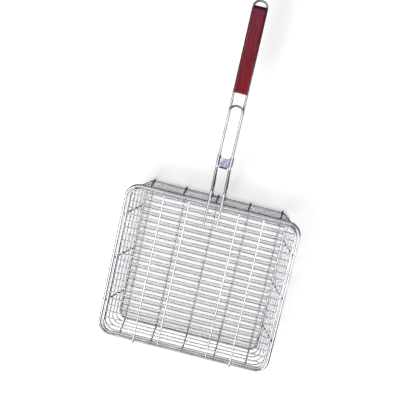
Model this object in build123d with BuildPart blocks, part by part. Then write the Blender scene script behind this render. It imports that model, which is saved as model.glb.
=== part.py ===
from build123d import *
import os
from math import atan, cos, sqrt

# Grill basket: a deep basket of welded wire with a flat wire lid, held shut by a sheet clip that slides on
# the handle wires. It rests on its floor. X is across, +Y runs out along the handle, +Z is up. Sizes in mm.

# ---- driving dimensions --------------------------------------------------------------------------------
rim_width = 320.0        # centre to centre of the rim wire, across
rim_length = 304.0       # centre to centre of the rim wire, along the handle
rim_height = 64.0        # centre of the rim wire above what the basket stands on
rim_corner = 24.0
floor_corner = 14.0
side_lean = 26.0         # how far each side wall leans in from rim to floor
end_lean = 7.0           # the same for the two end walls

rim_r = 2.5              # wire radii
frame_r = 2.0
rib_r = 1.5
grid_r = 1.25
handle_r = 2.0
weld = 0.1               # how far two welded wires sink into each other

hoop_count = 4
rib_pitch = 60.0         # spacing of the five ribs that carry the floor
stay_pitch = 88.0        # spacing of the three stays on each side wall
stay_foot_z = 3.4
floor_wire_count = 20
floor_wire_pitch = 13.6
lid_wire_count = 21
lid_wire_pitch = 13.3

lid_gap = 1.5            # gap between the lid's edge wire and the inside of the rim
hinge_gap = 0.45         # running clearance of the hinge eyes round the rim wire
hinge_x = 92.0           # distance of the hinge eyes from the middle
eye_turn = 262.0         # how far each hinge eye wraps the rim, in degrees
lid_rib_x = 46.0         # distance of the plain lid ribs from the middle
rib_overhang = 1.5       # how far a lid rib runs past the lid's edge wire
lid_leg_inset = 46.0     # how far the lid handle's legs reach in over the lid

leg_x = 11.8             # half the spacing of the handle wires
handle_rise = 12.0       # handle wires above the rim wire
lid_leg_rise = 7.0       # the lid handle's wires above the basket handle's wires
step_far = 78.0          # distance from the rim to the outer end of the step in the handle
step_near = 26.0         # distance from the rim to the inner end of the step
leg_meets_wall_z = 34.0
leg_foot_z = 3.2
handle_bend = 9.0
closed_end_bend = 11.5   # bend radius at the closed end of both handle wires
clip_reach = 90.0        # distance from the rim to the middle of the clip
grip_reach = 222.0       # distance from the rim to the near end of the grip
apex_gap = 24.0          # distance from the lid handle's closed end to the grip

grip_length = 158.0
grip_width = 25.6
grip_thick = 21.0
grip_edge = 3.0          # bevel along the grip's long edges
grip_end_edge = 1.5      # bevel round its two ends
slot_width = 5.0         # slots along the grip's sides for the handle wires
slot_floor_gap = 0.1
pin_r = 1.5
pin_reach = 46.0         # distance from the grip's near end to the pin
pin_depth = 9.0
pin_proud = 0.6

clip_length = 16.0
clip_sheet = 1.2
clip_gap = 0.35          # clearance between the clip and the wires
clip_crown = 10.0        # top of the clip above the basket handle's wires
clip_corner = 1.8
curl_height = 2.2        # how far the curled edges rise beside the wires
curl_flat = 0.1          # short flat left between the two bends of each curl
lip_rise = 3.0           # thumb lip at the clip's near end
lip_run = 2.4
lip_half_width = 7.0
bead_r = 0.8             # bead pressed across the clip in front of the lip
bead_depth = 0.45
bead_reach = 5.0

# ---- derived places ------------------------------------------------------------------------------------
end_angle = atan(end_lean / (rim_height - rib_r))
side_angle = atan(side_lean / (rim_height - rib_r))
frame_seat = frame_r + rib_r - weld          # centre distance of two welded wires
hoop_seat = grid_r + rib_r - weld
floor_frame_z = rib_r + frame_seat
floor_wire_z = rib_r + hoop_seat
lid_rib_z = rim_height + rim_r + hinge_gap + rib_r
lid_z = lid_rib_z - frame_seat
lid_wire_z = lid_z + frame_r - grid_r
lid_leg_low_z = lid_z + frame_r + handle_r - weld
handle_z = rim_height + handle_rise
lid_leg_z = handle_z + lid_leg_rise
lid_inset = rim_r + lid_gap + frame_r
lid_half_width = rim_width / 2 - lid_inset
lid_half_length = rim_length / 2 - lid_inset
eye_r = rim_r + hinge_gap + rib_r
near_rim = rim_length / 2
grip_start = near_rim + grip_reach
grip_end = grip_start + grip_length
loop_end = grip_end + leg_x

# All lengths above are measured from the basket's middle; this moves the whole length's middle to Y = 0.
basket_y = (near_rim + eye_r + rib_r - loop_end - handle_r) / 2


def end_wall(z, inward=0.0):
    """How far the end wall's rib line is from the basket's middle at height z, moved inward."""
    return near_rim - (rim_height - z) * end_lean / (rim_height - rib_r) - inward / cos(end_angle)


def side_wall(z, inward=0.0):
    """The same for a side wall."""
    return rim_width / 2 - (rim_height - z) * side_lean / (rim_height - rib_r) - inward / cos(side_angle)


def spread(count, pitch):
    """Evenly spaced places about zero."""
    return [(index - (count - 1) / 2) * pitch for index in range(count)]


def finish(name, shape):
    """Names a finished piece and writes it."""
    shape.label = name
    export_step(shape, f"parts/{name}.step")


def bent_wire(name, points, bends, radius, closed=False):
    """A round wire of straight runs joined by bends, its points measured from the basket's middle."""
    with BuildPart() as wire:
        with BuildLine() as centre_line:
            FilletPolyline(*[(x, y + basket_y, z) for x, y, z in points], radius=bends, close=closed)
        with BuildSketch(Plane(origin=centre_line.line @ 0, z_dir=centre_line.line % 0)):
            Circle(radius)
        sweep()
    finish(name, wire.part)


def ring(name, half_width, half_length, corner, z, radius):
    """A wire bent to a flat rounded rectangle, its ends butt welded."""
    corners = [(-half_width, -half_length, z), (half_width, -half_length, z),
               (half_width, half_length, z), (-half_width, half_length, z)]
    bent_wire(name, corners, corner, radius, closed=True)


def straight_wire(name, start, end, radius):
    """A straight round wire cut square at both ends, its ends measured from the basket's middle."""
    with BuildPart() as wire:
        with BuildLine() as centre_line:
            Line((start[0], start[1] + basket_y, start[2]), (end[0], end[1] + basket_y, end[2]))
        with BuildSketch(Plane(origin=centre_line.line @ 0, z_dir=centre_line.line % 0)):
            Circle(radius)
        sweep()
    finish(name, wire.part)


def cross_wires(name, half_width, half_length, corner, z, places):
    """Parallel thin wires along X at the given places, butted against the inside of a ring."""
    with BuildPart() as wires:
        for y in places:
            into_corner = max(0.0, abs(y) - (half_length - corner))
            reach = half_width - corner + sqrt(corner ** 2 - into_corner ** 2) - frame_r + weld
            with BuildSketch(Plane(origin=(-reach, y + basket_y, z), x_dir=(0, 1, 0), z_dir=(1, 0, 0))):
                Circle(grid_r)
            extrude(amount=2 * reach)
    finish(name, wires.part)


os.makedirs("parts", exist_ok=True)

# ---- basket rings: the rim, the wall hoops and the floor frame -----------------------------------------
ring("basket_rim", rim_width / 2, near_rim, rim_corner, rim_height, rim_r)

floor_half_width = side_wall(floor_frame_z, frame_seat)
floor_half_length = end_wall(floor_frame_z, frame_seat)
ring("floor_frame", floor_half_width, floor_half_length, floor_corner, floor_frame_z, frame_r)

for number in range(1, hoop_count + 1):
    share = number / (hoop_count + 1)
    hoop_z = floor_frame_z + share * (rim_height - floor_frame_z)
    hoop_corner = floor_corner + share * (rim_corner - floor_corner)
    ring(f"wall_hoop_{number}", side_wall(hoop_z, hoop_seat), end_wall(hoop_z, hoop_seat),
         hoop_corner, hoop_z, grid_r)

# ---- floor ribs: each runs down the far wall, under the floor frame and up the near wall ---------------
rib_top_z = rim_height - (rim_r - weld) * cos(end_angle)
rib_names = ["floor_rib_left_outer", "floor_rib_left", "floor_rib_middle",
             "floor_rib_right", "floor_rib_right_outer"]
for name, x in zip(rib_names, spread(len(rib_names), rib_pitch)):
    bent_wire(name, [(x, -end_wall(rib_top_z), rib_top_z), (x, -end_wall(rib_r), rib_r),
                     (x, end_wall(rib_r), rib_r), (x, end_wall(rib_top_z), rib_top_z)],
              frame_seat, rib_r)

# ---- side stays: straight wires outside the hoops, from the rim down to the floor frame ----------------
stay_names = ["far", "middle", "near"]
stay_top_z = rim_height - (rim_r - weld) * cos(side_angle)
for side, sign in (("left", -1), ("right", 1)):
    for place, y in zip(stay_names, spread(len(stay_names), stay_pitch)):
        straight_wire(f"side_stay_{side}_{place}", (sign * side_wall(stay_foot_z), y, stay_foot_z),
                      (sign * side_wall(stay_top_z), y, stay_top_z), rib_r)

# ---- floor wires: laid across the ribs and butted against the floor frame ------------------------------
cross_wires("floor_wires", floor_half_width, floor_half_length, floor_corner, floor_wire_z,
            spread(floor_wire_count, floor_wire_pitch))

# ---- basket handle: one long wire. Its closed end is the hanging loop, its feet run down the near wall --
leg_seat = rib_r - handle_r       # the legs are thicker than the ribs, so they stand this much further out
leg_side = [(leg_x, end_wall(leg_foot_z, leg_seat), leg_foot_z),
            (leg_x, end_wall(leg_meets_wall_z, leg_seat), leg_meets_wall_z),
            (leg_x, near_rim + step_near, leg_meets_wall_z),
            (leg_x, near_rim + step_far, handle_z),
            (leg_x, loop_end, handle_z)]
other_side = [(-x, y, z) for x, y, z in reversed(leg_side)]
handle_bends = [handle_bend] * 3 + [closed_end_bend] * 2 + [handle_bend] * 3
bent_wire("handle_frame", leg_side + other_side, handle_bends, handle_r)

# ---- lid handle: a shorter wire of the same width, closed at its outer end, its legs welded to the lid --
leg_side = [(leg_x, near_rim - lid_leg_inset, lid_leg_low_z),
            (leg_x, near_rim + step_near, lid_leg_low_z),
            (leg_x, near_rim + step_far, lid_leg_z),
            (leg_x, grip_start - apex_gap, lid_leg_z)]
other_side = [(-x, y, z) for x, y, z in reversed(leg_side)]
lid_bends = [handle_bend] * 2 + [closed_end_bend] * 2 + [handle_bend] * 2
bent_wire("lid_handle", leg_side + other_side, lid_bends, handle_r)

# ---- lid: a flat frame nested inside the rim, thin wires across it and ribs along it -------------------
ring("lid_frame", lid_half_width, lid_half_length, rim_corner - lid_inset, lid_z, frame_r)
cross_wires("lid_wires", lid_half_width, lid_half_length, rim_corner - lid_inset, lid_wire_z,
            spread(lid_wire_count, lid_wire_pitch))
rib_end = lid_half_length + rib_overhang
for name, x in (("lid_rib_left", -lid_rib_x), ("lid_rib_right", lid_rib_x)):
    straight_wire(name, (x, -rib_end, lid_rib_z), (x, rib_end, lid_rib_z), rib_r)

# ---- hinge ribs: lid ribs whose far ends curl round the rim as the hinge eyes --------------------------
for name, x in (("hinge_rib_left", -hinge_x), ("hinge_rib_right", hinge_x)):
    hinge_plane = Plane(origin=(x, basket_y - near_rim, rim_height), x_dir=(0, 1, 0), z_dir=(1, 0, 0))
    with BuildPart() as hinge_rib:
        with BuildLine(hinge_plane) as centre_line:
            Line((near_rim + rib_end, eye_r), (0, eye_r))
            CenterArc((0, 0), eye_r, 90, eye_turn)
        with BuildSketch(Plane(origin=(x, basket_y + rib_end, lid_rib_z), z_dir=(0, 1, 0))):
            Circle(rib_r)
        sweep()
    finish(name, hinge_rib.part)

# ---- grip: a bevelled wooden bar slotted along both sides for the handle wires -------------------------
grip_plane = Plane(origin=(0, grip_start + basket_y, handle_z), x_dir=(-1, 0, 0), z_dir=(0, 1, 0))
slot_depth = grip_width / 2 - (leg_x - handle_r - slot_floor_gap)
slot_x = (grip_width - slot_depth) / 2
with BuildPart() as wood_grip:
    with BuildSketch(grip_plane):
        Rectangle(grip_width, grip_thick)
    extrude(amount=grip_length)
    chamfer(wood_grip.edges().filter_by(Axis.Y), grip_edge)
    chamfer(wood_grip.faces().filter_by(Axis.Y).edges(), grip_end_edge)
    with BuildSketch(grip_plane):
        with Locations((slot_x, 0), (-slot_x, 0)):
            Rectangle(slot_depth, slot_width)
    extrude(amount=grip_length, mode=Mode.SUBTRACT)
    with Locations((0, grip_start + pin_reach + basket_y, handle_z + grip_thick / 2)):
        Hole(pin_r, pin_depth)
finish("wood_grip", wood_grip.part)

# ---- grip pin: a brad driven into the grip's upper face, its head slightly domed -----------------------
pin_foot = (0, grip_start + pin_reach + basket_y, handle_z + grip_thick / 2 - pin_depth)
with BuildPart() as grip_pin:
    with BuildSketch(Plane(origin=pin_foot)):
        Circle(pin_r)
    extrude(amount=pin_depth + pin_proud)
    fillet(grip_pin.faces().sort_by(Axis.Z)[-1].edges(), pin_proud)
finish("grip_pin", grip_pin.part)

# ---- slide lock: spring sheet bent to a crown between the wires, its edges curled under them -----------
curl_r = handle_r + clip_gap + clip_sheet / 2
curl_out = leg_x + curl_r
curl_in = leg_x - curl_r
crown = clip_crown - clip_sheet / 2
half_section = [(curl_out, curl_height), (curl_out, -curl_r), (curl_in, -curl_r), (curl_in, crown)]
section = half_section + [(-x, z) for x, z in reversed(half_section)]
curl_bend = curl_r - curl_flat / 2
section_bends = [curl_bend, curl_bend, clip_corner, clip_corner, curl_bend, curl_bend]
clip_start = near_rim + clip_reach - clip_length / 2 + basket_y
with BuildPart() as slide_lock:
    with BuildSketch(Plane(origin=(0, clip_start, handle_z), x_dir=(-1, 0, 0), z_dir=(0, 1, 0))):
        with BuildLine():
            FilletPolyline(*section, radius=section_bends)
        trace(line_width=clip_sheet)
    extrude(amount=clip_length)
    with BuildSketch(Plane(origin=(0, clip_start, handle_z + crown), x_dir=(0, 1, 0), z_dir=(1, 0, 0))):
        with BuildLine():
            FilletPolyline((bead_reach, 0), (0, 0), (-lip_run, lip_rise), radius=clip_corner)
        trace(line_width=clip_sheet)
    extrude(amount=lip_half_width, both=True)
    bead_place = (0, clip_start + bead_reach, handle_z + clip_crown - bead_depth + bead_r)
    with BuildSketch(Plane(origin=bead_place, x_dir=(0, 1, 0), z_dir=(1, 0, 0))):
        Circle(bead_r)
    extrude(amount=curl_in, both=True, mode=Mode.SUBTRACT)
finish("slide_lock", slide_lock.part)
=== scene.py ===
import math
import random

import bmesh
import bpy
from mathutils import Matrix, Vector


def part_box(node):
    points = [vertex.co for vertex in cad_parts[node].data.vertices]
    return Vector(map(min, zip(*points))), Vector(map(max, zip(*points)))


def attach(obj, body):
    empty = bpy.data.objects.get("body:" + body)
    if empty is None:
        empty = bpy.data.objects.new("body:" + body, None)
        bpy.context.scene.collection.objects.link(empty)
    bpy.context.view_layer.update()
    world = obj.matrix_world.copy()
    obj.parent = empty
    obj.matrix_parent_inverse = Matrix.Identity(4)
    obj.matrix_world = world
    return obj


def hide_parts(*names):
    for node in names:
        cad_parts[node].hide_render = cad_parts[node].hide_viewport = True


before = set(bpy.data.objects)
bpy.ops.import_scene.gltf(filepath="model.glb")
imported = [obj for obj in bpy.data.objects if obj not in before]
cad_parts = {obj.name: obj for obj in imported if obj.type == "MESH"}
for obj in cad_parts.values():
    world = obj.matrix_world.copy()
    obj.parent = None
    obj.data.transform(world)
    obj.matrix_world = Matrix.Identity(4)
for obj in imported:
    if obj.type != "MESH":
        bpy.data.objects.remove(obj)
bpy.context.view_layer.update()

# ---- Viewpoint ------------------------------------------------------------------------------------------
# The basket lies on its floor and is seen from high up on the handle's side, with a long lens, the handle
# running up the frame and leaning to the right.
TOWARDS_CAMERA = Vector((0.05, 0.384, 0.922)).normalized()
HANDLE_LEAN = math.radians(12.8)
AIM = Vector((-0.029, -0.045, 0.055))
CAMERA_DISTANCE = 3.6
LENS = 180.0


def aim_camera():
    """Places a long lens camera so that +Y runs up the frame, leaning right."""
    up = (Vector((0, 1, 0)) - TOWARDS_CAMERA * TOWARDS_CAMERA.y).normalized()
    right = up.cross(TOWARDS_CAMERA)
    across = right * math.cos(HANDLE_LEAN) + up * math.sin(HANDLE_LEAN)
    upward = up * math.cos(HANDLE_LEAN) - right * math.sin(HANDLE_LEAN)
    camera = bpy.data.objects.new("camera", bpy.data.cameras.new("camera"))
    camera.data.lens = LENS
    camera.data.sensor_width = 36.0
    camera.matrix_world = Matrix.Translation(AIM + TOWARDS_CAMERA * CAMERA_DISTANCE) @ Matrix(
        (across, upward, TOWARDS_CAMERA)).transposed().to_4x4()
    bpy.context.collection.objects.link(camera)
    bpy.context.scene.camera = camera


aim_camera()

# ---- Studio ---------------------------------------------------------------------------------------------
# A floor and walls that look pale to the camera but dark in the wire's reflections, under a bright ceiling:
# bright wire shows dark edges only when its sides have something dark to reflect. Four lamps give the
# shadows and the glints.
FLOOR_SIZE = 6.0
FLOOR_WHITE = 0.97
FLOOR_SEEN_IN_WIRE = 0.10
FLOOR_GLOW = 0.42
FLOOR_ROUGHNESS = 0.9
WALL_GREY = 0.05
WALL_SEEN = 0.9                  # the pale wall that the camera itself sees
CEILING_LIGHT = 0.55
CEILING_EDGE = (0.66, 0.84)      # Z of a ray's direction where the walls end and where the ceiling is full


def node_in(tree, kind, place, **values):
    """Adds a shader node, with its settings or its sockets' values."""
    node = tree.nodes.new(kind)
    node.location = place
    for name, value in values.items():
        if hasattr(node, name):
            setattr(node, name, value)
        else:
            node.inputs[name.replace("_", " ")].default_value = value
    return node


def make_floor():
    """A white sheet that reads darker, and does not glow, to every ray but the camera's."""
    sheet = bmesh.new()
    bmesh.ops.create_grid(sheet, x_segments=1, y_segments=1, size=FLOOR_SIZE)
    mesh = bpy.data.meshes.new("floor")
    sheet.to_mesh(mesh)
    sheet.free()
    floor = bpy.data.objects.new("floor", mesh)
    bpy.context.collection.objects.link(floor)
    paint = bpy.data.materials.new("floor")
    paint.use_nodes = True
    tree = paint.node_tree
    shader = tree.nodes["Principled BSDF"]
    shader.inputs["Roughness"].default_value = FLOOR_ROUGHNESS
    shader.inputs["Specular IOR Level"].default_value = 0.0
    rays = node_in(tree, "ShaderNodeLightPath", (-500, 0))
    tone = node_in(tree, "ShaderNodeMapRange", (-300, 0), To_Min=FLOOR_SEEN_IN_WIRE, To_Max=FLOOR_WHITE)
    tree.links.new(rays.outputs["Is Camera Ray"], tone.inputs["Value"])
    tree.links.new(tone.outputs["Result"], shader.inputs["Base Color"])
    glow = node_in(tree, "ShaderNodeMath", (-300, -300), operation="MULTIPLY")
    glow.inputs[1].default_value = FLOOR_GLOW
    tree.links.new(rays.outputs["Is Camera Ray"], glow.inputs[0])
    tree.links.new(glow.outputs[0], shader.inputs["Emission Strength"])
    mesh.materials.append(paint)


def add_lamp(name, place, target, size, watts):
    """A rectangular lamp that faces its target."""
    lamp = bpy.data.objects.new(name, bpy.data.lights.new(name, "AREA"))
    lamp.data.shape = "RECTANGLE"
    lamp.data.size, lamp.data.size_y = size
    lamp.data.energy = watts
    lamp.location = place
    lamp.rotation_euler = (Vector(place) - Vector(target)).to_track_quat("Z", "Y").to_euler()
    bpy.context.collection.objects.link(lamp)


def make_surround():
    """A bright ceiling over dark walls; the camera itself sees a plain pale wall."""
    world = bpy.data.worlds.new("surround")
    bpy.context.scene.world = world
    world.use_nodes = True
    tree = world.node_tree
    background = tree.nodes["Background"]
    direction = node_in(tree, "ShaderNodeTexCoord", (-900, 0))
    height = node_in(tree, "ShaderNodeSeparateXYZ", (-700, 0))
    ceiling = node_in(tree, "ShaderNodeMapRange", (-500, 0), interpolation_type="SMOOTHSTEP",
                      From_Min=CEILING_EDGE[0], From_Max=CEILING_EDGE[1],
                      To_Min=WALL_GREY, To_Max=CEILING_LIGHT)
    rays = node_in(tree, "ShaderNodeLightPath", (-500, 300))
    seen = node_in(tree, "ShaderNodeMix", (-250, 0), data_type="FLOAT")
    tree.links.new(direction.outputs["Generated"], height.inputs["Vector"])
    tree.links.new(height.outputs["Z"], ceiling.inputs["Value"])
    tree.links.new(rays.outputs["Is Camera Ray"], seen.inputs["Factor"])
    tree.links.new(ceiling.outputs["Result"], seen.inputs["A"])
    seen.inputs["B"].default_value = WALL_SEEN
    tree.links.new(seen.outputs["Result"], background.inputs["Color"])


make_floor()
make_surround()
add_lamp("overhead", (-1.15, -1.1, 2.2), (0, 0, 0), (1.4, 1.6), 34)
add_lamp("front", (0.15, 2.3, 1.5), (0, 0, 0), (1.8, 1.0), 9)
add_lamp("back", (-0.15, -2.1, 1.6), (0, 0, 0), (1.8, 0.9), 13)
add_lamp("side", (2.4, -1.0, 0.5), (0, 0.1, 0.05), (0.6, 1.6), 12)
bpy.context.scene.view_settings.view_transform = "Standard"

# ---- Chromed wire ---------------------------------------------------------------------------------------
# Every wire of the basket and its lid is drawn mild steel, bent to shape, spot welded and then chromed as
# one piece. The plating varies in tone and polish, with a fine ripple and a few dull specks.
CHROME_BRIGHT = (0.64, 0.65, 0.68, 1)
CHROME_DEEP = (0.46, 0.475, 0.51, 1)
CHROME_SPECK = (0.20, 0.185, 0.17, 1)
THIN_BRIGHT = (0.82, 0.83, 0.85, 1)
THIN_DEEP = (0.62, 0.635, 0.67, 1)
TONE_SCALE = 38.0
RIPPLE_SCALE = 900.0
RIPPLE_DEPTH = 0.0002
SPECK_SCALE = 240.0
SPECK_EDGE = (0.05, 0.16)        # from a speck's full colour to none, in distance from its middle
POLISH_RANGE = (0.6, 1.5)        # least and most roughness, as shares of the wire's own


def plating(name, roughness, ripple, specks, bright=CHROME_BRIGHT, deep=CHROME_DEEP):
    """Chrome plate over wire: tone, roughness and relief all vary from place to place."""
    paint = bpy.data.materials.new(name)
    paint.use_nodes = True
    tree = paint.node_tree
    shader = tree.nodes["Principled BSDF"]
    shader.inputs["Metallic"].default_value = 1.0
    place = node_in(tree, "ShaderNodeTexCoord", (-1300, 0))
    clouds = node_in(tree, "ShaderNodeTexNoise", (-1050, 300), Scale=TONE_SCALE, Detail=4.0, Roughness=0.6)
    fine = node_in(tree, "ShaderNodeTexNoise", (-1050, 0), Scale=RIPPLE_SCALE, Detail=3.0, Roughness=0.65)
    dots = node_in(tree, "ShaderNodeTexVoronoi", (-1050, -300), Scale=SPECK_SCALE, Randomness=1.0)
    for texture in (clouds, fine, dots):
        tree.links.new(place.outputs["Object"], texture.inputs["Vector"])
    tone = node_in(tree, "ShaderNodeMix", (-550, 300), data_type="RGBA")
    tone.inputs["A"].default_value = deep
    tone.inputs["B"].default_value = bright
    spread = node_in(tree, "ShaderNodeMapRange", (-800, 300), From_Min=0.35, From_Max=0.65)
    tree.links.new(clouds.outputs["Fac"], spread.inputs["Value"])
    tree.links.new(spread.outputs["Result"], tone.inputs["Factor"])
    dull = node_in(tree, "ShaderNodeMapRange", (-800, -300), From_Min=SPECK_EDGE[0], From_Max=SPECK_EDGE[1],
                   To_Min=specks, To_Max=0.0)
    tree.links.new(dots.outputs["Distance"], dull.inputs["Value"])
    speckled = node_in(tree, "ShaderNodeMix", (-300, 300), data_type="RGBA")
    speckled.inputs["B"].default_value = CHROME_SPECK
    tree.links.new(dull.outputs["Result"], speckled.inputs["Factor"])
    tree.links.new(tone.outputs["Result"], speckled.inputs["A"])
    tree.links.new(speckled.outputs["Result"], shader.inputs["Base Color"])
    polish = node_in(tree, "ShaderNodeMapRange", (-550, 0), From_Min=0.3, From_Max=0.7,
                     To_Min=roughness * POLISH_RANGE[0], To_Max=roughness * POLISH_RANGE[1])
    tree.links.new(fine.outputs["Fac"], polish.inputs["Value"])
    tree.links.new(polish.outputs["Result"], shader.inputs["Roughness"])
    relief = node_in(tree, "ShaderNodeBump", (-300, -200), Strength=ripple, Distance=RIPPLE_DEPTH)
    tree.links.new(fine.outputs["Fac"], relief.inputs["Height"])
    tree.links.new(relief.outputs["Normal"], shader.inputs["Normal"])
    return paint


def finish_nodes(paint, *names):
    """Gives CAD nodes their finished surface."""
    for name in names:
        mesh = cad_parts[name].data
        mesh.materials.clear()
        mesh.materials.append(paint)


RIB_NAMES = ["floor_rib_left_outer", "floor_rib_left", "floor_rib_middle",
             "floor_rib_right", "floor_rib_right_outer"]
HOOP_NAMES = [f"wall_hoop_{number}" for number in (1, 2, 3, 4)]
STAY_NAMES = [f"side_stay_{side}_{place}"
              for side in ("left", "right") for place in ("far", "middle", "near")]
LID_RIB_NAMES = ["lid_rib_left", "lid_rib_right", "hinge_rib_left", "hinge_rib_right"]
finish_nodes(plating("thick_wire_chrome", 0.13, 0.12, 0.5), "basket_rim", "floor_frame", "lid_frame")
finish_nodes(plating("rib_chrome", 0.24, 0.15, 0.4, THIN_BRIGHT, THIN_DEEP),
             *RIB_NAMES, *STAY_NAMES, *LID_RIB_NAMES)
finish_nodes(plating("thin_wire_chrome", 0.30, 0.18, 0.3, THIN_BRIGHT, THIN_DEEP),
             *HOOP_NAMES, "floor_wires", "lid_wires")

# ---- Welds ----------------------------------------------------------------------------------------------
# Where two wires cross they are pressed together and spot welded, which squeezes out a small bead round the
# joint. The ring wires are butt welded at the middle of their far side. All of it is chromed with the wire.
BEAD_WIDE = 0.00165
BEAD_TALL = 0.0006
BEAD_SWELL = (0.88, 1.12)
LEG_BEAD_WIDE = BEAD_WIDE * 1.2
CONTACT_SINK = 0.00005
BUTT_LENGTH = 0.0012
BUTT_PROUD = 1.10
HANDLE_WIRE = 0.002              # radius of the handle wires
FLOOR_CORNER = 0.014
LID_CORNER = 0.018
FLOOR_WIRE_COUNT = 20
LID_WIRE_COUNT = 21
LEG_HOOPS = HOOP_NAMES[:2]
chance = random.Random(7)


def add_bead(sheet, place, radii, turn=Matrix.Identity(4)):
    """One squashed bead of metal, its size a little different each time."""
    swell = chance.uniform(*BEAD_SWELL)
    shape = Matrix.Translation(place) @ turn @ Matrix.Diagonal((*(radius * swell for radius in radii), 1.0))
    bmesh.ops.create_uvsphere(sheet, u_segments=8, v_segments=6, radius=1.0, matrix=shape)


def ring_lines(name):
    """Centre lines of a ring wire: half width, far Y, near Y, height and wire radius."""
    low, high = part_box(name)
    radius = (high.z - low.z) / 2
    return high.x - radius, low.y + radius, high.y - radius, (low.z + high.z) / 2, radius


def middle_x(name):
    """Where a wire that runs along Y lies across the basket."""
    low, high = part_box(name)
    return (low.x + high.x) / 2


def wire_places(name, count):
    """Centre lines of evenly spaced cross wires along Y, their height and radius."""
    low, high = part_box(name)
    radius = (high.z - low.z) / 2
    pitch = (high.y - low.y - 2 * radius) / (count - 1)
    return [low.y + radius + index * pitch for index in range(count)], (low.z + high.z) / 2, radius


def corner_reach(ring, y, corner):
    """Half the inside span of a ring at Y, shorter near its round corners."""
    half_width, far, near, _, radius = ring_lines(ring)
    middle = (far + near) / 2
    into_corner = max(0.0, abs(y - middle) - ((near - far) / 2 - corner))
    return half_width - corner + math.sqrt(corner ** 2 - into_corner ** 2) - radius


def butt_weld(sheet, ring):
    """The collar where a ring wire's two ends meet."""
    _, far, _, z, radius = ring_lines(ring)
    add_bead(sheet, (0, far, z), (BUTT_LENGTH, radius * BUTT_PROUD, radius * BUTT_PROUD))


def keep_piece(sheet, name, paint, body):
    """Turns a bmesh into a finished, smooth shaded piece that rides on a body."""
    for face in sheet.faces:
        face.smooth = True
    mesh = bpy.data.meshes.new(name)
    sheet.to_mesh(mesh)
    sheet.free()
    piece = bpy.data.objects.new(name, mesh)
    bpy.context.collection.objects.link(piece)
    mesh.materials.append(paint)
    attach(piece, body)
    return piece


def weld_basket():
    """Beads at the floor, the walls and the rim, and where the handle's legs meet the near wall."""
    beads = bmesh.new()
    flat = (BEAD_WIDE, BEAD_WIDE, BEAD_TALL)
    upright = (BEAD_WIDE, BEAD_TALL, BEAD_WIDE)
    sideways = (BEAD_TALL, BEAD_WIDE, BEAD_WIDE)
    places, wire_z, wire_radius = wire_places("floor_wires", FLOOR_WIRE_COUNT)
    _, frame_far, frame_near, frame_z, frame_radius = ring_lines("floor_frame")
    _, rim_far, rim_near, rim_z, rim_radius = ring_lines("basket_rim")
    slant = frame_radius * math.sqrt(0.5)
    for rib in RIB_NAMES:
        x = middle_x(rib)
        for y in places:
            add_bead(beads, (x, y, wire_z - wire_radius + CONTACT_SINK), flat)
        for y, outward in ((frame_far, -1), (frame_near, 1)):
            add_bead(beads, (x, y + outward * slant, frame_z - slant), flat,
                     Matrix.Rotation(outward * math.radians(45), 4, "X"))
        for y in (rim_far, rim_near):
            add_bead(beads, (x, y, rim_z - rim_radius), flat)
        for hoop in HOOP_NAMES:
            _, far, near, z, radius = ring_lines(hoop)
            add_bead(beads, (x, far - radius, z), upright)
            add_bead(beads, (x, near + radius, z), upright)
    for y in places:
        reach = corner_reach("floor_frame", y, FLOOR_CORNER)
        for side in (-1, 1):
            add_bead(beads, (side * reach, y, wire_z), sideways)
    for stay in STAY_NAMES:
        low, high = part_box(stay)
        side = math.copysign(1, low.x)
        y = (low.y + high.y) / 2
        lean = math.atan2(high.x - low.x - (high.y - low.y), high.z - low.z)
        turn = Matrix.Rotation(side * lean, 4, "Y")
        for ring in ["floor_frame", *HOOP_NAMES]:
            half_width, _, _, z, radius = ring_lines(ring)
            out = radius * math.cos(lean)
            add_bead(beads, (side * (half_width + out), y, z - radius * math.sin(lean)), sideways, turn)
        half_width = ring_lines("basket_rim")[0]
        add_bead(beads, (side * (half_width - rim_radius * math.sin(lean)), y,
                         rim_z - rim_radius * math.cos(lean)), flat, turn)
    leg_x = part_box("handle_frame")[1].x - HANDLE_WIRE
    for x in (-leg_x, leg_x):
        for ring in ["floor_frame", *LEG_HOOPS]:
            _, _, near, z, radius = ring_lines(ring)
            add_bead(beads, (x, near + radius, z), (LEG_BEAD_WIDE, BEAD_TALL, BEAD_WIDE))
    for ring in ["basket_rim", "floor_frame", *HOOP_NAMES]:
        butt_weld(beads, ring)
    keep_piece(beads, "basket_welds", weld_chrome, "basket")


def weld_lid():
    """Beads along the lid's ribs and handle legs, and at the ends of its cross wires."""
    beads = bmesh.new()
    flat = (BEAD_WIDE, BEAD_WIDE, BEAD_TALL)
    places, wire_z, wire_radius = wire_places("lid_wires", LID_WIRE_COUNT)
    _, frame_far, frame_near, _, _ = ring_lines("lid_frame")
    top = wire_z + wire_radius - CONTACT_SINK
    for rib in LID_RIB_NAMES:
        for y in places:
            add_bead(beads, (middle_x(rib), y, top), flat)
        for y in (frame_far, frame_near):
            add_bead(beads, (middle_x(rib), y, top), flat)
    leg_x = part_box("lid_handle")[1].x - HANDLE_WIRE
    leg_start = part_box("lid_handle")[0].y
    for x in (-leg_x, leg_x):
        for y in [place for place in places if place > leg_start] + [frame_near]:
            add_bead(beads, (x, y, top), (LEG_BEAD_WIDE, BEAD_WIDE, BEAD_TALL))
    for y in places:
        reach = corner_reach("lid_frame", y, LID_CORNER)
        for side in (-1, 1):
            add_bead(beads, (side * reach, y, wire_z), (BEAD_TALL, BEAD_WIDE, BEAD_TALL * 2))
    butt_weld(beads, "lid_frame")
    keep_piece(beads, "lid_welds", weld_chrome, "lid")


weld_chrome = plating("weld_chrome", 0.26, 0.5, 0.8)
weld_basket()
weld_lid()

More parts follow.
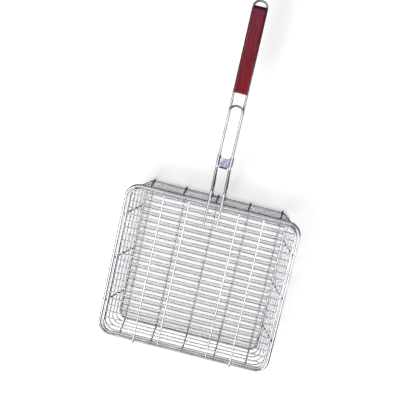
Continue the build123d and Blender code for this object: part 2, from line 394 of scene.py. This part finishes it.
# ---- Handle wires ---------------------------------------------------------------------------------------
# Two long hairpins of thicker wire, their chrome smoother than the mesh's and painted deeper in tone than
# chrome, painted shade for the dark reflections along these wires. The longer is welded down the near wall
# and closes as the hanging loop. The shorter is welded to the lid and closes before the grip.
HANDLE_SHADED_BRIGHT = (0.46, 0.46, 0.47, 1)
HANDLE_SHADED_DEEP = (0.31, 0.31, 0.32, 1)
finish_nodes(plating("handle_painted_shade_chrome", 0.10, 0.10, 0.4, HANDLE_SHADED_BRIGHT, HANDLE_SHADED_DEEP),
             "handle_frame", "lid_handle")

# ---- Wooden grip ----------------------------------------------------------------------------------------
# A bar of straight grained hardwood, its long edges rounded over and a slot sawn along each side for the
# wires. It is stained deep red and clear lacquered. Painted shade darkens its long edges, and painted shade
# together with end grain stain darkens its ends.
EDGE_ROUND = 0.003
END_ROUND = 0.0013
MOUTH_ROUND = 0.0004
SLOT_WIDTH = 0.005
SLOT_FLOOR_X = 0.0097            # how far the slots' floors stand from the grip's middle
STAIN_RED = (0.360, 0.004, 0.016, 1)
STAIN_PLUM = (0.250, 0.022, 0.055, 1)
# Darkest tone, reached by the grain and by the painted shade at the edges and ends.
GRAIN_AND_SHADE_DARK = (0.030, 0.003, 0.006, 1)
PIN_HALO = 0.0030
COAT_WEIGHT = 0.45
COAT_ROUGHNESS = 0.10
GRAIN_STRETCH = 0.07             # how fast the grain's pattern changes along the bar, against 1 across it
GRAIN_AND_SHADE_DEPTH = 0.85
SIDE_PAINTED_SHADE = (0.0022, 0.0006)    # painted shade starts this far inside a side face and is full this far past it
END_SHADE_AND_STAIN = (0.0030, 0.0060)     # the same for an end face, where painted shade and end grain stain darken it together


def make_grip():
    """The slotted outline drawn out along the handle, then rounded at its long edges, mouths and ends."""
    low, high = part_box("wood_grip")
    middle = (low + high) / 2
    half = (high - low) / 2
    slot = SLOT_WIDTH / 2
    right_side = [(half.x, -half.z), (half.x, -slot), (SLOT_FLOOR_X, -slot),
                  (SLOT_FLOOR_X, slot), (half.x, slot), (half.x, half.z)]
    outline = right_side + [(-x, z) for x, z in reversed(right_side)]
    bar = bmesh.new()
    corners = [bar.verts.new((x, low.y, middle.z + z)) for x, z in outline]
    end_face = bar.faces.new(corners)
    grown = bmesh.ops.extrude_face_region(bar, geom=[end_face], use_keep_orig=True)
    moved = [item for item in grown["geom"] if isinstance(item, bmesh.types.BMVert)]
    bmesh.ops.translate(bar, verts=moved, vec=(0, high.y - low.y, 0))
    bmesh.ops.recalc_face_normals(bar, faces=bar.faces)

    def lies_at(edge, x, z):
        """Whether both ends of an edge are this far from the bar's middle, across it and in height."""
        return all(abs(abs(v.co.x) - x) < 1e-5 and abs(abs(v.co.z - middle.z) - z) < 1e-5 for v in edge.verts)

    def round_over(edges, width, segments):
        bmesh.ops.bevel(bar, geom=edges, offset=width, offset_type="OFFSET", affect="EDGES",
                        segments=segments, profile=0.5, material=-1, clamp_overlap=True)

    round_over([edge for edge in bar.edges if lies_at(edge, half.x, half.z)], EDGE_ROUND, 6)
    round_over([edge for edge in bar.edges if lies_at(edge, half.x, slot)], MOUTH_ROUND, 2)
    rims = [edge for edge in bar.edges
            if any(all(abs(v.co.y - y) < 1e-6 for v in edge.verts) for y in (low.y, high.y))]
    round_over(rims, END_ROUND, 3)
    bmesh.ops.recalc_face_normals(bar, faces=bar.faces)
    grip = keep_piece(bar, "grip_bar", lacquered_wood(), "basket")
    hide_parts("wood_grip")
    flat_faces = grip.modifiers.new("flat_faces", "WEIGHTED_NORMAL")
    flat_faces.keep_sharp = True
    flat_faces.weight = 100


def lacquered_wood():
    """Stained hardwood under a clear coat, its grain running along Y."""
    low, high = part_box("wood_grip")
    middle = (low + high) / 2
    half = (high - low) / 2
    pin_low, pin_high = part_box("grip_pin")
    paint = bpy.data.materials.new("lacquered_wood")
    paint.use_nodes = True
    tree = paint.node_tree
    link = tree.links.new
    shader = tree.nodes["Principled BSDF"]
    shader.inputs["Coat Weight"].default_value = COAT_WEIGHT
    shader.inputs["Coat Roughness"].default_value = COAT_ROUGHNESS
    shader.inputs["Coat IOR"].default_value = 1.5
    shader.inputs["Specular IOR Level"].default_value = 0.08
    place = node_in(tree, "ShaderNodeTexCoord", (-2000, 0))
    stretched = node_in(tree, "ShaderNodeMapping", (-1750, 0), Scale=(1.0, GRAIN_STRETCH, 1.0),
                        Location=(-middle.x, -middle.y * GRAIN_STRETCH, -middle.z))
    link(place.outputs["Object"], stretched.inputs["Vector"])
    figure = node_in(tree, "ShaderNodeTexNoise", (-1500, 250), Scale=230.0, Detail=5.0, Roughness=0.6,
                     Distortion=0.6)
    streaks = node_in(tree, "ShaderNodeTexNoise", (-1500, 0), Scale=900.0, Detail=3.0, Roughness=0.7)
    pores = node_in(tree, "ShaderNodeTexVoronoi", (-1500, -250), Scale=1300.0)
    for texture in (figure, streaks, pores):
        link(stretched.outputs["Vector"], texture.inputs["Vector"])

    axes = node_in(tree, "ShaderNodeSeparateXYZ", (-1750, 600))
    link(place.outputs["Object"], axes.inputs["Vector"])
    length_share = node_in(tree, "ShaderNodeMapRange", (-1500, 600), interpolation_type="SMOOTHSTEP",
                           From_Min=low.y, From_Max=high.y)
    link(axes.outputs["Y"], length_share.inputs["Value"])
    stain = node_in(tree, "ShaderNodeMix", (-1200, 600), data_type="RGBA")
    stain.inputs["A"].default_value = STAIN_RED
    stain.inputs["B"].default_value = STAIN_PLUM
    link(length_share.outputs["Result"], stain.inputs["Factor"])

    def shade_and_stain_band(axis, centre, near, far, at):
        """Amount of painted shade, and at the ends also end grain stain, between two distances from the bar's
        middle along one axis.
        """
        offset = node_in(tree, "ShaderNodeMath", (-1200, at), operation="SUBTRACT")
        offset.inputs[1].default_value = centre
        link(axes.outputs[axis], offset.inputs[0])
        distance = node_in(tree, "ShaderNodeMath", (-1050, at), operation="ABSOLUTE")
        link(offset.outputs[0], distance.inputs[0])
        amount = node_in(tree, "ShaderNodeMapRange", (-900, at), interpolation_type="SMOOTHSTEP",
                         From_Min=near, From_Max=far)
        link(distance.outputs[0], amount.inputs["Value"])
        return amount.outputs["Result"]

    def either(first, second, at, operation="MAXIMUM"):
        """The stronger of two amounts, or their sum."""
        node = node_in(tree, "ShaderNodeMath", (-700, at), operation=operation)
        link(first, node.inputs[0])
        link(second, node.inputs[1])
        return node.outputs[0]

    # Painted shade darkens the long edges; at the ends painted shade and end grain stain darken it together.
    painted_shade_at_sides = shade_and_stain_band("X", middle.x, half.x - SIDE_PAINTED_SHADE[0], half.x + SIDE_PAINTED_SHADE[1], 400)
    shade_and_stain_at_ends = shade_and_stain_band("Y", middle.y, half.y - END_SHADE_AND_STAIN[0], half.y + END_SHADE_AND_STAIN[1], 200)
    pin_offset = node_in(tree, "ShaderNodeVectorMath", (-1200, -100), operation="DISTANCE")
    pin_offset.inputs[1].default_value = ((pin_low.x + pin_high.x) / 2, (pin_low.y + pin_high.y) / 2, high.z)
    link(place.outputs["Object"], pin_offset.inputs[0])
    at_pin = node_in(tree, "ShaderNodeMapRange", (-900, -100), interpolation_type="SMOOTHSTEP",
                     From_Min=PIN_HALO * 0.5, From_Max=PIN_HALO, To_Min=1.0, To_Max=0.0)
    link(pin_offset.outputs["Value"], at_pin.inputs["Value"])
    # The strongest of the painted shade at sides and ends, the end grain stain and the dark ring round the
    # pin.
    shade_and_stain = either(either(painted_shade_at_sides, shade_and_stain_at_ends, 300), at_pin.outputs["Result"], 100)

    dark_grain = node_in(tree, "ShaderNodeMapRange", (-1200, 250), From_Min=0.42, From_Max=0.66,
                         To_Min=0.0, To_Max=0.75)
    link(figure.outputs["Fac"], dark_grain.inputs["Value"])
    thin_grain = node_in(tree, "ShaderNodeMapRange", (-1200, 50), From_Min=0.48, From_Max=0.72,
                         To_Min=0.0, To_Max=0.45)
    link(streaks.outputs["Fac"], thin_grain.inputs["Value"])
    pore = node_in(tree, "ShaderNodeMapRange", (-1200, -250), From_Min=0.08, From_Max=0.22,
                   To_Min=0.55, To_Max=0.0)
    link(pores.outputs["Distance"], pore.inputs["Value"])
    grain = either(either(dark_grain.outputs["Result"], thin_grain.outputs["Result"], -300, "ADD"),
                   pore.outputs["Result"], -450)
    darkness = either(grain, shade_and_stain, -600)
    soft = node_in(tree, "ShaderNodeMath", (-500, -600), operation="MULTIPLY", use_clamp=True)
    soft.inputs[1].default_value = GRAIN_AND_SHADE_DEPTH
    link(darkness, soft.inputs[0])
    wood = node_in(tree, "ShaderNodeMix", (-300, 300), data_type="RGBA")
    wood.inputs["B"].default_value = GRAIN_AND_SHADE_DARK
    link(stain.outputs["Result"], wood.inputs["A"])
    link(soft.outputs[0], wood.inputs["Factor"])
    link(wood.outputs["Result"], shader.inputs["Base Color"])
    rough = node_in(tree, "ShaderNodeMapRange", (-300, 0), To_Min=0.30, To_Max=0.52)
    link(streaks.outputs["Fac"], rough.inputs["Value"])
    link(rough.outputs["Result"], shader.inputs["Roughness"])
    relief = node_in(tree, "ShaderNodeBump", (-300, -250), Strength=0.35, Distance=0.0002, invert=True)
    link(grain, relief.inputs["Height"])
    link(relief.outputs["Normal"], shader.inputs["Normal"])
    return paint


make_grip()

# ---- Grip pin -------------------------------------------------------------------------------------------
# A small steel brad driven through the grip's upper face to hold it on the wires. Its domed head is bare
# and has gone brown from handling and weather.
STEEL_GREY = (0.16, 0.15, 0.15, 1)
STEEL_BROWN = (0.07, 0.045, 0.035, 1)


def tarnished_steel():
    """Bare steel in grey and brown patches, rougher where it is brown."""
    paint = bpy.data.materials.new("tarnished_steel")
    paint.use_nodes = True
    tree = paint.node_tree
    shader = tree.nodes["Principled BSDF"]
    shader.inputs["Metallic"].default_value = 1.0
    place = node_in(tree, "ShaderNodeTexCoord", (-900, 0))
    patches = node_in(tree, "ShaderNodeTexNoise", (-700, 0), Scale=700.0, Detail=4.0)
    tree.links.new(place.outputs["Object"], patches.inputs["Vector"])
    tone = node_in(tree, "ShaderNodeMix", (-300, 100), data_type="RGBA")
    tone.inputs["A"].default_value = STEEL_GREY
    tone.inputs["B"].default_value = STEEL_BROWN
    tree.links.new(patches.outputs["Fac"], tone.inputs["Factor"])
    tree.links.new(tone.outputs["Result"], shader.inputs["Base Color"])
    rough = node_in(tree, "ShaderNodeMapRange", (-300, -100), To_Min=0.35, To_Max=0.65)
    tree.links.new(patches.outputs["Fac"], rough.inputs["Value"])
    tree.links.new(rough.outputs["Result"], shader.inputs["Roughness"])
    relief = node_in(tree, "ShaderNodeBump", (-300, -300), Strength=0.4, Distance=0.0001)
    tree.links.new(patches.outputs["Fac"], relief.inputs["Height"])
    tree.links.new(relief.outputs["Normal"], shader.inputs["Normal"])
    return paint


finish_nodes(tarnished_steel(), "grip_pin")

# ---- Slide lock -----------------------------------------------------------------------------------------
# A clip pressed from spring steel sheet: its crown stands between the wires, its edges curl round them, and
# a lip for the thumb is turned up at the near end. It is bright zinc plated, with fine lines across.
ZINC_LIGHT = (0.50, 0.53, 0.61, 1)
ZINC_DARK = (0.33, 0.355, 0.43, 1)
SHEET = 0.0012
WIRE_GAP = 0.00035
CLIP_LENGTH = 0.016
CLIP_RISE = 0.0094               # middle of the sheet in the crown, above the wires' middle
CLIP_CORNER = 0.0018
CURL_RISE = 0.0022               # how far each curled edge comes back up beside its wire
LIP_TURN = math.radians(51.3)
LIP_BEND = 0.0018
LIP_RUN = 0.0029
BEAD_PLACE = 0.0050
BEAD_HALF_WIDTH = 0.00085
BEAD_DEPTH = 0.00045
EASED_EDGE = 0.00022
EASED_ABOVE = math.radians(50)   # only edges that turn more than this are eased
CURL_SHARE = 0.98                # bevel width of the curls, as a share of their radius


def plated_sheet():
    """Bright plating in two tones of grey, with fine lines across the clip."""
    paint = bpy.data.materials.new("plated_sheet")
    paint.use_nodes = True
    tree = paint.node_tree
    shader = tree.nodes["Principled BSDF"]
    shader.inputs["Metallic"].default_value = 1.0
    place = node_in(tree, "ShaderNodeTexCoord", (-1100, 0))
    drawn = node_in(tree, "ShaderNodeMapping", (-900, 0), Scale=(0.05, 1.0, 0.4))
    lines = node_in(tree, "ShaderNodeTexNoise", (-700, 150), Scale=2600.0, Detail=3.0)
    patches = node_in(tree, "ShaderNodeTexNoise", (-700, -150), Scale=160.0, Detail=3.0)
    tree.links.new(place.outputs["Object"], drawn.inputs["Vector"])
    tree.links.new(drawn.outputs["Vector"], lines.inputs["Vector"])
    tree.links.new(place.outputs["Object"], patches.inputs["Vector"])
    tone = node_in(tree, "ShaderNodeMix", (-300, 200), data_type="RGBA")
    tone.inputs["A"].default_value = ZINC_DARK
    tone.inputs["B"].default_value = ZINC_LIGHT
    spread = node_in(tree, "ShaderNodeMapRange", (-500, 200), From_Min=0.35, From_Max=0.65)
    tree.links.new(patches.outputs["Fac"], spread.inputs["Value"])
    tree.links.new(spread.outputs["Result"], tone.inputs["Factor"])
    tree.links.new(tone.outputs["Result"], shader.inputs["Base Color"])
    rough = node_in(tree, "ShaderNodeMapRange", (-300, 0), From_Min=0.3, From_Max=0.7,
                    To_Min=0.22, To_Max=0.40)
    tree.links.new(lines.outputs["Fac"], rough.inputs["Value"])
    tree.links.new(rough.outputs["Result"], shader.inputs["Roughness"])
    relief = node_in(tree, "ShaderNodeBump", (-300, -250), Strength=0.25, Distance=0.0001)
    tree.links.new(lines.outputs["Fac"], relief.inputs["Height"])
    tree.links.new(relief.outputs["Normal"], shader.inputs["Normal"])
    return paint


def make_clip():
    """The clip's section drawn out along the wires, its crown pressed with a bead and turned up to a lip."""
    wire_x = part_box("handle_frame")[1].x - HANDLE_WIRE
    wire_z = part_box("handle_frame")[1].z - HANDLE_WIRE
    near_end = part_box("slide_lock")[1].y - CLIP_LENGTH
    curl = HANDLE_WIRE + WIRE_GAP + SHEET / 2
    crown_z = wire_z + CLIP_RISE
    half = [(wire_x + curl, CURL_RISE), (wire_x + curl, -curl),
            (wire_x - curl, -curl), (wire_x - curl, CLIP_RISE)]
    sheet = bmesh.new()
    corners = [sheet.verts.new((x, near_end, wire_z + z)) for x, z in half]
    corners += [sheet.verts.new((-x, near_end, wire_z + z)) for x, z in reversed(half)]
    for first, second in zip(corners, corners[1:]):
        sheet.edges.new((first, second))
    for bends, radius in ((corners[3:5], CLIP_CORNER), (corners[1:3] + corners[5:7], curl * CURL_SHARE)):
        bmesh.ops.bevel(sheet, geom=bends, offset=radius, offset_type="OFFSET", affect="VERTICES",
                        segments=8, profile=0.5, material=-1)
    grown = bmesh.ops.extrude_edge_only(sheet, edges=sheet.edges[:])
    moved = [item for item in grown["geom"] if isinstance(item, bmesh.types.BMVert)]
    bmesh.ops.translate(sheet, verts=moved, vec=(0, CLIP_LENGTH, 0))
    bead_y = near_end + BEAD_PLACE
    for share in (-1, -0.5, 0, 0.5, 1):
        bmesh.ops.bisect_plane(sheet, geom=sheet.verts[:] + sheet.edges[:] + sheet.faces[:],
                               plane_co=(0, bead_y + share * BEAD_HALF_WIDTH, 0), plane_no=(0, 1, 0))
    for vert in sheet.verts:
        across = abs(vert.co.y - bead_y) / BEAD_HALF_WIDTH
        if across < 0.99 and vert.co.z > crown_z - 1e-6:
            vert.co.z -= BEAD_DEPTH * math.cos(across * math.pi / 2) ** 2
    mouth = [edge for edge in sheet.edges
             if all(v.co.z > crown_z - 1e-6 and abs(v.co.y - near_end) < 1e-6 for v in edge.verts)]
    bmesh.ops.translate(sheet, verts=mouth[0].verts[:], vec=(0, LIP_BEND * math.tan(LIP_TURN / 2), 0))
    lip_y = mouth[0].verts[0].co.y
    bent = bmesh.ops.spin(sheet, geom=mouth + mouth[0].verts[:], cent=(0, lip_y, crown_z + LIP_BEND),
                          axis=(1, 0, 0), angle=-LIP_TURN, steps=6)
    tip = [item for item in bent["geom_last"] if isinstance(item, bmesh.types.BMEdge)]
    grown = bmesh.ops.extrude_edge_only(sheet, edges=tip)
    moved = [item for item in grown["geom"] if isinstance(item, bmesh.types.BMVert)]
    bmesh.ops.translate(sheet, verts=moved,
                        vec=(0, -LIP_RUN * math.cos(LIP_TURN), LIP_RUN * math.sin(LIP_TURN)))
    bmesh.ops.remove_doubles(sheet, verts=sheet.verts, dist=1e-7)
    bmesh.ops.recalc_face_normals(sheet, faces=sheet.faces)
    clip = keep_piece(sheet, "lock_clip", plated_sheet(), "lock")
    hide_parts("slide_lock")
    wall = clip.modifiers.new("sheet", "SOLIDIFY")
    wall.thickness = SHEET
    wall.offset = 0.0
    wall.use_even_offset = True
    eased = clip.modifiers.new("eased_edges", "BEVEL")
    eased.width = EASED_EDGE
    eased.segments = 2
    eased.limit_method = "ANGLE"
    eased.angle_limit = EASED_ABOVE
    eased.harden_normals = True


make_clip()
